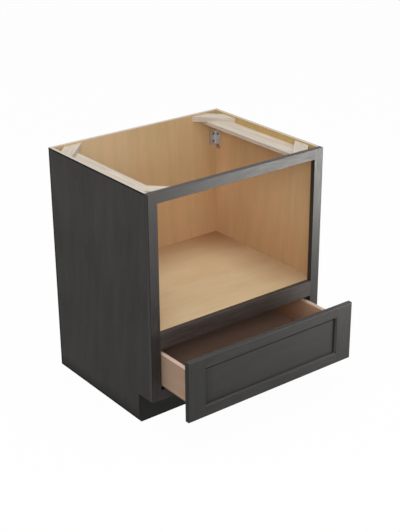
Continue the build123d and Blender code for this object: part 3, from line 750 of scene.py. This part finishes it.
class FinishFaceFrame(bpy.types.Operator):
    """Satin charcoal on the face frame, with the grain along each member"""

    bl_idname = "cabinet.finish_face_frame"
    bl_label = "Finish face frame"

    def execute(self, context):
        dark = context.scene.charcoal_finish
        low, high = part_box("left_stile")[0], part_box("right_stile")[1]
        # Painted shade along the stiles' outer edges
        edges = ((low, (high.x, FAR, FAR), 0.0028, 0.7),)
        # Painted light on the top faces of the frame
        lit_top = (("Z", high.z - SKIN, FAR, 1.7),)
        upright = charcoal(
            "charcoal_frame_upright", dark.frame, "z", dark.roughness, shades=edges, painted_bands=lit_top
        )
        level = charcoal(
            "charcoal_frame_level", dark.frame, "x", dark.roughness, streaks=1.5, painted_bands=lit_top
        )
        # Painted warm bounce light: a paler, redder copy of the frame's finish for the mid rail
        bounce_lit = tinted(dark.frame, 1.8, 1.63, 1.55)
        middle = charcoal("charcoal_frame_middle", bounce_lit, "x", dark.roughness)
        # Painted shade along the toe board's foot
        ground = (((-FAR, low.y, 0), ABOVE, 0.008, 0.9),)
        toe = charcoal("dark_toe_board", dark.toe, "x", 0.7, specular=0.1, shades=ground)
        dress(upright, "left_stile", "right_stile")
        dress(level, "top_rail", "bottom_rail")
        dress(middle, "mid_rail")
        dress(toe, "toe_kick_board")
        return {"FINISHED"}


class FinishDrawerFront(bpy.types.Operator):
    """Satin charcoal on the five pieces of the drawer front"""

    bl_idname = "cabinet.finish_drawer_front"
    bl_label = "Finish drawer front"

    def execute(self, context):
        dark = context.scene.charcoal_finish
        rough = dark.roughness + 0.05
        low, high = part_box("left_front_stile")[0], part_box("right_front_stile")[1]
        ledge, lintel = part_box("front_bottom_rail")[1].z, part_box("front_top_rail")[0].z
        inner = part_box("right_front_stile")[0].x
        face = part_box("front_panel")[0].y
        # Painted shade along the front's lower outer edge
        edges = (((-FAR, low.y, low.z), ABOVE, 0.007, 0.85),)
        # Painted light on the top faces of the drawer front
        lit_top = (("Z", high.z - ARRIS, FAR, 1.9),)
        # Painted light on the right stile's wall of the recess, painted shade on the front's two
        # ends, and a painted highlight on its left rounded edge
        ends = (
            ("X", inner - SKIN, inner + SKIN, 3.2),
            ("X", -FAR, low.x + SKIN, 0.5),
            ("X", low.x + SKIN, low.x + ROUNDED, 1.3),
            ("X", high.x - SKIN, FAR, 0.5),
        )
        upright = charcoal(
            "charcoal_front_upright",
            dark.front,
            "z",
            rough,
            streaks=1.4,
            shades=edges,
            painted_bands=lit_top + ends,
            # Painted sheen, paler towards the right
            fades=(("X", 0, inner, PLAIN, grey(1.2)),),
        )
        upper = charcoal("charcoal_front_upper", dark.front, "x", rough, painted_bands=lit_top)
        lower = charcoal(
            "charcoal_front_lower",
            dark.front,
            "x",
            rough,
            shades=edges,
            # Painted light on the ledge of the lower rail
            painted_bands=(("Z", ledge - ARRIS, FAR, 3.3),),
            # Painted sheen, paler towards the right
            fades=(("X", 0, inner, PLAIN, grey(1.3)),),
        )
        panel = charcoal(
            "charcoal_front_panel",
            dark.front,
            "x",
            rough + 0.04,
            streaks=0.8,
            shades=(
                # Painted shade in the recess round the panel, and a painted shadow line below the
                # upper rail
                ((-inner, face, ledge), (inner, FAR, lintel), 0.02, 0.5),
                ((-FAR, face, -FAR), (FAR, FAR, lintel - PANEL_SHADOW), 0.003, 1.0),
            ),
            # Painted shadow of the left stile on the panel
            fades=(("X", 0.05 - inner, -inner, PLAIN, grey(0.62)),),
        )
        dress(upright, "left_front_stile", "right_front_stile")
        dress(upper, "front_top_rail")
        dress(lower, "front_bottom_rail")
        dress(panel, "front_panel")
        return {"FINISHED"}


class FinishInterior(bpy.types.Operator):
    """Clear-coated maple on the back, the shelf and the cabinet bottom"""

    bl_idname = "cabinet.finish_interior"
    bl_label = "Finish interior"

    def execute(self, context):
        pale = context.scene.maple_finish
        coat = 0.45
        material, tree, shader, place = start_material("maple_back_panel", coat, specular=0.1)
        face, height = maple_wall(tree, place, pale.wall)
        changes = (
            # Painted light towards the open top, painted shade close above the shelf and in the
            # right corner
            ("Z", 0.5, 0.74, (1.02, 1.05, 1.06, 1), (1.03, 1.14, 1.18, 1)),
            ("Z", SHELF_HIGH.z, SHELF_HIGH.z + 0.16, (0.98, 0.96, 0.96, 1), PLAIN),
            ("X", 0.27, 0.36, PLAIN, (0.94, 0.92, 0.91, 1)),
        )
        face = fade(tree, place, face, changes)
        rear, _ = grain_colour(
            tree,
            place,
            ALONG["z"],
            (0.54, 0.39, 0.25, 1),
            (0.72, 0.56, 0.39, 1),
            figure=0.15,
            streaks=0.9,
            clouds=0.5,
        )
        depth = axis_of(tree, place, "Y")
        on_top = beyond(tree, axis_of(tree, place, "Z"), TOP_Z - SKIN)
        on_rear = beyond(tree, depth, BACK_Y - SKIN)
        base = blend_colours(tree, on_top, face, bare_ply(tree, place, depth, pale.raw))
        base = blend_colours(tree, on_rear, base, rear)
        uncoated = maths(tree, "MAXIMUM", on_top, on_rear)
        rough = maths(tree, "MULTIPLY_ADD", uncoated, 0.3, coat)
        end_material(tree, shader, base, height, relief=0.1, rough=rough)
        dress(material, "back_panel")

        # Painted shade towards the back and the sides of the shelf, where the walls meet it
        rear_tint = tinted(pale.shelf, 0.36, 0.18, 0.1)
        side_tint = tinted(pale.shelf, 0.32, 0.1, 0)
        shelf = clear_maple(
            "maple_shelf",
            pale.shelf,
            "x",
            figure=0.12,
            streaks=0.2,
            clouds=0.6,
            corners=(
                (BELOW, (FAR, SHELF_HIGH.y, SHELF_HIGH.z), 0.27, 0.6, rear_tint),
                (BELOW, (SHELF_HIGH.x, FAR, SHELF_HIGH.z), 0.22, 0.37, side_tint),
                ((SHELF_LOW.x, -FAR, -FAR), (FAR, FAR, SHELF_HIGH.z), 0.05, 0.25, side_tint),
            ),
        )
        dress(shelf, "microwave_shelf", "cabinet_bottom")
        return {"FINISHED"}


class FinishTopSupports(bpy.types.Operator):
    """Raw wood on the cleats and the corner blocks, each with its own grain"""

    bl_idname = "cabinet.finish_top_supports"
    bl_label = "Finish top supports"

    def execute(self, context):
        raw = context.scene.maple_finish.raw
        cleat = raw_timber("raw_cleat", raw, ALONG["y"])
        rising = raw_timber("raw_block_rising", raw, RISING)
        falling = raw_timber("raw_block_falling", raw, FALLING)
        dress(cleat, "left_top_cleat", "right_top_cleat")
        dress(rising, "back_left_corner_block", "front_right_corner_block")
        dress(falling, "front_left_corner_block", "back_right_corner_block")
        return {"FINISHED"}


class FinishDrawerBox(bpy.types.Operator):
    """Clear-coated maple on the box, with end grain at its dovetails"""

    bl_idname = "cabinet.finish_drawer_box"
    bl_label = "Finish drawer box"

    def execute(self, context):
        box = context.scene.maple_finish.box
        coat = 0.5
        # Painted light along the top edge of the sides
        paler = shade(tinted(box, 1, 1.12, 1.24), 1.43)
        # Painted shade along the lower outer edges of the sides
        ends = (-BOX_HIGH.x, -FAR, BOX_LOW.z), (BOX_HIGH.x, FAR, FAR)
        inner_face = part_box("right_drawer_side")[0].x + SKIN
        front, rear = BOX_HIGH.y + 0.06, BOX_HIGH.y + 0.3
        sides = clear_maple(
            "maple_box_side",
            box,
            "y",
            coat,
            figure=0.4,
            streaks=0.6,
            rim=("Z", BOX_HIGH.z - BOX_RIM, paler),
            corners=((*ends, 0.007, 0.9, LOW_EDGE_SHADE),),
            # Painted light and shade on the inner faces, paler at the front and darker towards the
            # back
            lining=(inner_face, ("Y", front, rear, (1.45, 1.35, 1.28, 1), (0.75, 0.6, 0.5, 1))),
            # Painted light, paler towards the front of the sides
            fades=(("Y", BOX_LOW.y + 0.13, BOX_LOW.y + 0.01, PLAIN, (1.17, 1.09, 1.03, 1)),),
        )
        dress(sides, "left_drawer_side", "right_drawer_side")

        material, tree, shader, place = start_material("maple_box_end", coat, specular=0.25)
        face, height = grain_colour(
            tree,
            place,
            ALONG["x"],
            tinted(box, 0.82, 0.75, 0.66),
            tinted(box, 1.1, 1.12, 1.16),
            figure=0.7,
            streaks=0.9,
        )
        at_end = beyond(tree, from_middle(tree, place), BOX_HIGH.x - SKIN)
        base = blend_colours(tree, at_end, face, tinted(box, 0.72, 0.62, 0.5))
        end_material(tree, shader, base, height, relief=0.1)
        dress(material, "drawer_inner_front", "drawer_back")

        # Painted shade inside the drawer: a darker copy of the box's maple, with painted light
        # towards the front
        front, rear = BOX_HIGH.y + 0.21, BOX_HIGH.y + 0.33
        bottom = clear_maple(
            "maple_drawer_bottom",
            shade(tinted(box, 1, 1.02, 1.12), 0.69),
            "x",
            coat,
            figure=0.3,
            streaks=0.5,
            lining=(FAR, ("Y", front, rear, (1.28, 1.24, 1.24, 1), PLAIN)),
        )
        dress(bottom, "drawer_bottom")
        return {"FINISHED"}


class FinishHardware(bpy.types.Operator):
    """Steel and plastic on the brackets, slides and locking devices"""

    bl_idname = "cabinet.finish_hardware"
    bl_label = "Finish hardware"

    def execute(self, context):
        look = context.scene.hardware_look
        galvanised = 0.46
        zinc = metal("zinc_plate", look.zinc, 0.42, "z")
        track = metal("galvanised_slide", look.slide, galvanised, "y")
        begin, full = (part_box("left_slide_rail")[0].y + reach for reach in RAIL_TIP)
        # Painted shade on the front end of each slide rail, where it sits in the gap under the
        # drawer
        dark_tip = (("Y", begin, full, PLAIN, grey(0.03)),)
        rail = metal("galvanised_rail", look.slide, galvanised, "y", fades=dark_tip)
        roller = metal("ground_roller", (0.7, 0.7, 0.72), 0.2, "x", speckle=0.05)
        cage = moulded("natural_cage", (0.7, 0.69, 0.66))
        device = moulded("grey_device", (0.09, 0.095, 0.1))
        lever = moulded("orange_lever", look.lever, 0.42)
        pad = moulded("clear_pad", (0.42, 0.42, 0.42), 0.3)
        dress(pad, "front_bumpers")
        for side in ("left", "right"):
            dress(zinc, f"{side}_corner_bracket", f"{side}_slide_rear_bracket")
            dress(rail, f"{side}_slide_rail")
            dress(track, f"{side}_middle_slide", f"{side}_drawer_runner")
            dress(roller, f"{side}_lower_rollers", f"{side}_upper_rollers")
            dress(cage, f"{side}_lower_roller_cage", f"{side}_upper_roller_cage")
            dress(device, f"{side}_locking_device")
            dress(lever, f"{side}_release_lever")
        return {"FINISHED"}


# ------------------------ fitting of the screws
def shells(node):
    """The separate solids of a node, as lists of points, in the order of its mesh."""
    mesh = bmesh.new()
    mesh.from_mesh(frame["nodes"][node].data)
    bmesh.ops.remove_doubles(mesh, verts=mesh.verts, dist=MERGE)
    # A dict keeps the order that it is filled in; that of a set changes from run to run
    left = dict.fromkeys(mesh.verts)
    found = []
    while left:
        first = next(iter(left))
        del left[first]
        stack = [first]
        shell = []
        while stack:
            vertex = stack.pop()
            shell.append(vertex.co.copy())
            for edge in vertex.link_edges:
                other = edge.other_vert(vertex)
                if other in left:
                    del left[other]
                    stack.append(other)
        found.append(shell)
    mesh.free()
    return found


def furthest(points):
    """The greatest distance between two of some points."""
    return max((first - second).length for first in points for second in points)


def seat_of(points):
    """Where a plain screw's head sits, and the direction that it faces."""
    low = Vector([min(point[axis] for point in points) for axis in range(3)])
    high = Vector([max(point[axis] for point in points) for axis in range(3)])
    size = high - low
    axis = max(range(3), key=lambda index: size[index])
    facing = Vector((0, 0, 0))

    def width_at(end):
        reach = PLAIN_HEAD * 1.05
        return furthest([point for point in points if abs(point[axis] - end) < reach])

    facing[axis] = 1 if width_at(high[axis]) > width_at(low[axis]) else -1
    top = high[axis] if facing[axis] > 0 else low[axis]
    seat = (low + high) / 2
    seat[axis] = top - facing[axis] * PLAIN_HEAD
    return seat, facing


def pan_head(look, length):
    """A pan-head screw with a square recess, its seat at the origin and its head along Z."""
    mesh = bmesh.new()
    radius, height, drive = look.head_radius, look.head_height, look.drive_width / 2
    # Half of the outline, from the point up to the crown: distance from the axis, and height
    profile = [
        (TIP_RADIUS, -length),
        (SHANK_RADIUS, -length + TIP_LENGTH),
        (SHANK_RADIUS, 0.0),
        (radius * 0.97, 0.0),
        (radius, height * 0.25),
        (radius * 0.93, height * 0.65),
        (radius * 0.74, height * 0.93),
        (radius * 0.55, height),
    ]
    verts = [mesh.verts.new((x, 0, z)) for x, z in profile]
    edges = [mesh.edges.new(pair) for pair in zip(verts, verts[1:])]
    bmesh.ops.spin(
        mesh,
        geom=verts + edges,
        cent=(0, 0, 0),
        axis=(0, 0, 1),
        angle=2 * math.pi,
        steps=ROUND_STEPS,
        use_merge=True,
    )
    bmesh.ops.remove_doubles(mesh, verts=mesh.verts, dist=MERGE)
    rims = [edge for edge in mesh.edges if edge.is_boundary]
    crown = [edge for edge in rims if edge.verts[0].co.z > 0]
    tip = [edge for edge in rims if edge.verts[0].co.z < 0]
    bmesh.ops.contextual_create(mesh, geom=tip)

    # The recess: a ring drawn out to a square, joined to the crown and sunk into the head
    ring = bmesh.ops.create_circle(mesh, cap_ends=False, segments=ROUND_STEPS, radius=drive)
    for vertex in ring["verts"]:
        reach = max(abs(vertex.co.x), abs(vertex.co.y))
        vertex.co *= drive / reach
        vertex.co.z = height
    mouth = list(dict.fromkeys(edge for vertex in ring["verts"] for edge in vertex.link_edges))
    bmesh.ops.bridge_loops(mesh, edges=crown + mouth)
    sunk = bmesh.ops.extrude_edge_only(mesh, edges=mouth)["geom"]
    floor = [item for item in sunk if isinstance(item, bmesh.types.BMVert)]
    bmesh.ops.translate(mesh, verts=floor, vec=(0, 0, -height * 0.75))
    walls = [item for item in sunk if isinstance(item, bmesh.types.BMEdge)]
    bmesh.ops.contextual_create(mesh, geom=[edge for edge in walls if edge.is_boundary])
    bmesh.ops.recalc_face_normals(mesh, faces=mesh.faces)
    return mesh


def fit_screws(name, node, body, material, look):
    """One piece with a detailed screw in the place of each of a node's screws."""
    found = shells(node)
    length = furthest(found[0]) - PLAIN_HEAD - SHORTER
    fitted = bmesh.new()
    for index, points in enumerate(found):
        seat, facing = seat_of(points)
        turn = Vector((0, 0, 1)).rotation_difference(facing).to_matrix().to_4x4()
        twist = Matrix.Rotation(math.radians(FIRST_TWIST + NEXT_TWIST * index), 4, "Z")
        one = pan_head(look, length)
        place = Matrix.Translation(seat) @ turn @ twist
        bmesh.ops.transform(one, matrix=place, verts=one.verts)
        part = take_mesh("screw", one)
        fitted.from_mesh(part)
        bpy.data.meshes.remove(part)
    mesh = take_mesh(name, fitted)
    mesh.materials.append(material)
    for polygon in mesh.polygons:
        polygon.use_smooth = True
    mesh.set_sharp_from_angle(angle=SMOOTH_TO)
    piece = add_object(name, mesh)
    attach(piece, body)
    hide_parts(node)


class FitScrews(bpy.types.Operator):
    """Square-drive pan-head screws in place of the plain ones"""

    bl_idname = "cabinet.fit_screws"
    bl_label = "Fit screws"

    def execute(self, context):
        look = context.scene.hardware_look
        black = metal("black_screw_steel", look.screw, 0.4, "z", speckle=0.2)
        bright = metal("zinc_screw_steel", (0.58, 0.57, 0.54), 0.3, "z", speckle=0.08)
        fit_screws("bracket_screw_set", "bracket_screws", "cabinet", black, look)
        for name, node, body in (
            ("slide_rail_screw_set", "slide_rail_screws", "cabinet"),
            ("rear_bracket_screw_set", "rear_bracket_screws", "cabinet"),
            ("front_screw_set", "front_fixing_screws", "drawer"),
            ("locking_device_screw_set", "locking_device_screws", "drawer"),
        ):
            fit_screws(name, node, body, bright, look)
        return {"FINISHED"}


# ------------------------ studio
def seen_ray(tree):
    """1 for a ray that shows the backdrop, by eye, in gloss or through glass."""
    path = add_node(tree, "ShaderNodeLightPath").outputs
    shiny = maths(tree, "MAXIMUM", path["Is Glossy Ray"], path["Is Transmission Ray"])
    return maths(tree, "MAXIMUM", path["Is Camera Ray"], shiny)


def put_out(tree, share, lit, shown, output):
    """Mix the shader that lights the object with the one that shows, by the second's share."""
    inputs = {0: share, 1: lit.outputs[0], 2: shown.outputs[0]}
    mixed = add_node(tree, "ShaderNodeMixShader", inputs)
    tree.links.new(mixed.outputs[0], add_node(tree, output).inputs["Surface"])


def lay_floor(size):
    """A plain pale floor that keeps the object's shadow."""
    grid = bmesh.new()
    bmesh.ops.create_grid(grid, x_segments=1, y_segments=1, size=size / 2)
    mesh = take_mesh("studio_floor", grid)
    floor = add_object("studio_floor", mesh)
    material = bpy.data.materials.new("pale_studio_floor")
    material.use_nodes = True
    tree = material.node_tree
    tree.nodes.clear()
    seen = seen_ray(tree)
    tone = blend_colours(tree, seen, grey(0.5), grey(0.95))
    lit = add_node(tree, "ShaderNodeBsdfDiffuse", {"Color": tone})
    shown = add_node(tree, "ShaderNodeEmission", {"Color": PLAIN, "Strength": 1.0})
    share = maths(tree, "MULTIPLY", seen, 0.97)  # the rest takes the shadow
    put_out(tree, share, lit, shown, "ShaderNodeOutputMaterial")
    mesh.materials.append(material)


def hang_sky(scene, strength):
    """Even light all round, and a white backdrop."""
    world = bpy.data.worlds.new("studio_sky")
    scene.world = world
    world.use_nodes = True
    tree = world.node_tree
    tree.nodes.clear()
    lit, shown = (
        add_node(tree, "ShaderNodeBackground", {"Color": PLAIN, "Strength": level})
        for level in (strength, 1.0)
    )
    put_out(tree, seen_ray(tree), lit, shown, "ShaderNodeOutputWorld")


def area_lamp(name, place, target, size, power):
    """A soft oblong lamp that faces a point."""
    lamp = bpy.data.lights.new(name, "AREA")
    lamp.shape = "RECTANGLE"
    lamp.size, lamp.size_y = size
    lamp.energy = power
    stand = add_object(name, lamp)
    stand.location = place
    aim = Vector(target) - Vector(place)
    stand.rotation_euler = aim.to_track_quat("-Z", "Y").to_euler()
    return stand


def set_lamps(settings):
    """A key lamp in front, one above, and a low one for the sheen of the finish."""
    area_lamp("key_lamp", (-2.4, -4.2, 2.6), (0, -0.4, 0.5), (2.6, 2.0), settings.key_power)
    area_lamp("top_lamp", (-0.3, -0.8, 4.2), (0, -0.3, 0.4), (3.0, 3.0), settings.top_power)
    sheen = area_lamp(
        "sheen_lamp", (1.62, -2.17, 0.2), (0, -0.6, 0.6), (1.0, 0.3), settings.sheen_power
    )
    sheen.data.color = (1.0, 0.98, 0.94)
    sheen.visible_diffuse = False
    sheen.visible_camera = False


def set_camera(scene, settings):
    """The camera at its place, turned by azimuth, height and roll."""
    azimuth, height, roll = settings.camera_turn
    level = math.cos(height)
    behind = Vector((math.sin(azimuth) * level, -math.cos(azimuth) * level, math.sin(height)))
    right = Vector((0, 0, 1)).cross(behind).normalized()
    axes = Matrix((right, behind.cross(right), behind)).transposed()
    turn = axes @ Matrix.Rotation(roll, 3, "Z")
    lens = bpy.data.cameras.new("studio_camera")
    lens.lens = settings.lens
    lens.sensor_width = 36.0
    lens.clip_end = 200.0
    camera = add_object("studio_camera", lens)
    camera.matrix_world = Matrix.Translation(settings.camera_place) @ turn.to_4x4()
    scene.camera = camera


class BuildStudio(bpy.types.Operator):
    """A pale floor, soft lamps and the camera"""

    bl_idname = "cabinet.build_studio"
    bl_label = "Build studio"

    def execute(self, context):
        scene = context.scene
        settings = scene.studio_settings
        scene.view_settings.view_transform = "Standard"
        lay_floor(settings.floor_size)
        hang_sky(scene, settings.sky)
        set_lamps(settings)
        set_camera(scene, settings)
        return {"FINISHED"}


# ------------------------ the add-on
class CabinetPanel(bpy.types.Panel):
    """The steps that finish the cabinet"""

    bl_idname = "VIEW3D_PT_base_cabinet"
    bl_label = "Base cabinet"
    bl_space_type = "VIEW_3D"
    bl_region_type = "UI"
    bl_category = "Cabinet"

    def draw(self, context):
        for step in STEPS:
            self.layout.operator(step.bl_idname)
        for name in SETTINGS:
            group = getattr(context.scene, name)
            box = self.layout.box()
            for item in group.bl_rna.properties:
                if item.identifier not in ("rna_type", "name"):
                    box.prop(group, item.identifier)


STEPS = (
    FinishSidePanels,
    FinishFaceFrame,
    FinishDrawerFront,
    FinishInterior,
    FinishTopSupports,
    FinishDrawerBox,
    FinishHardware,
    FitScrews,
    BuildStudio,
)
SETTINGS = {
    "charcoal_finish": CharcoalFinish,
    "maple_finish": MapleFinish,
    "hardware_look": HardwareLook,
    "studio_settings": StudioSettings,
}


def register():
    """Add the settings, the steps and the panel."""
    for name, group in SETTINGS.items():
        bpy.utils.register_class(group)
        setattr(bpy.types.Scene, name, bpy.props.PointerProperty(type=group))
    for step in STEPS:
        bpy.utils.register_class(step)
    bpy.utils.register_class(CabinetPanel)


def unregister():
    """Take them away again."""
    bpy.utils.unregister_class(CabinetPanel)
    for step in reversed(STEPS):
        bpy.utils.unregister_class(step)
    for name, group in SETTINGS.items():
        delattr(bpy.types.Scene, name)
        bpy.utils.unregister_class(group)


def main():
    """Run each step in order."""
    register()
    for step in STEPS:
        group, name = step.bl_idname.split(".")
        getattr(getattr(bpy.ops, group), name)()


if __name__ == "__main__":
    main()
